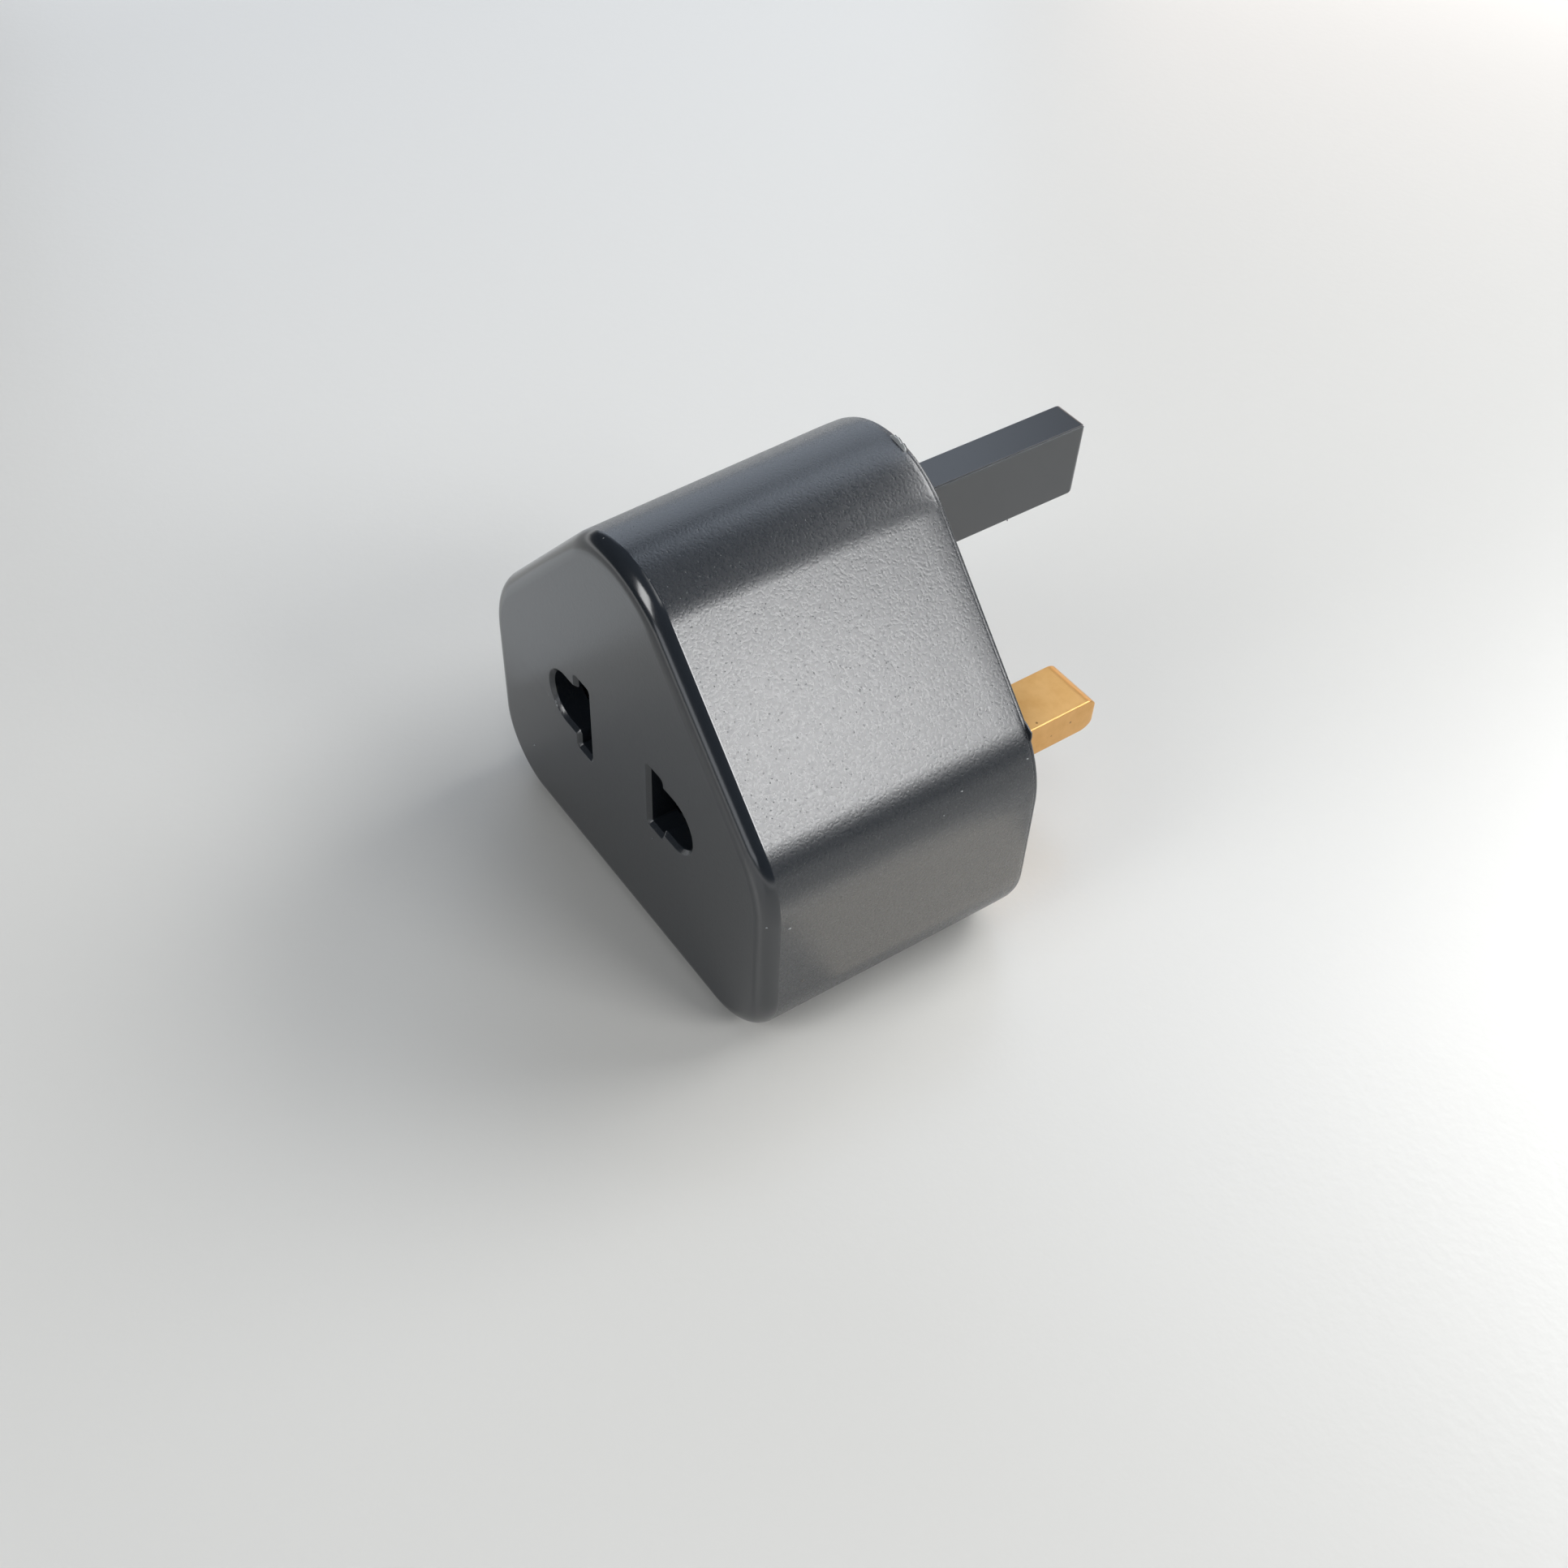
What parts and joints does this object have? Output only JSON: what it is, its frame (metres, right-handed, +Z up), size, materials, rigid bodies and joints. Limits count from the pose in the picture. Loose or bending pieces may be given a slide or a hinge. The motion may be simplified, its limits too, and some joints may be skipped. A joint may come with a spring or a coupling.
{
  "type": "travel adapter",
  "caption": "Travel adapter with a roof-shaped black housing: combined round and flat pin sockets in front, rectangular brass pins and a plastic earth pin behind.",
  "frame": {"origin": "middle of the flat base, halfway between the socket face and the plug face", "axes": "+Y out along the plug pins, +Z up towards the earth pin, +X to the right seen from the socket side"},
  "size_m": [0.0502, 0.0521, 0.0448],
  "materials": {
    "body_abs": "charcoal ABS, spark-eroded satin",
    "pin_brass": "drawn and tumbled",
    "spring_brass": "rolled and stamped strip",
    "screw_steel": "zinc plated"
  },
  "bodies": {
    "root": {"housing": "body_abs", "rear_cover": "body_abs", "cover_screw": "screw_steel", "live_pin": "pin_brass", "neutral_pin": "pin_brass", "live_contact": "spring_brass", "neutral_contact": "spring_brass", "live_blade_spring": "spring_brass", "neutral_blade_spring": "spring_brass"}
  },
  "joints": []
}
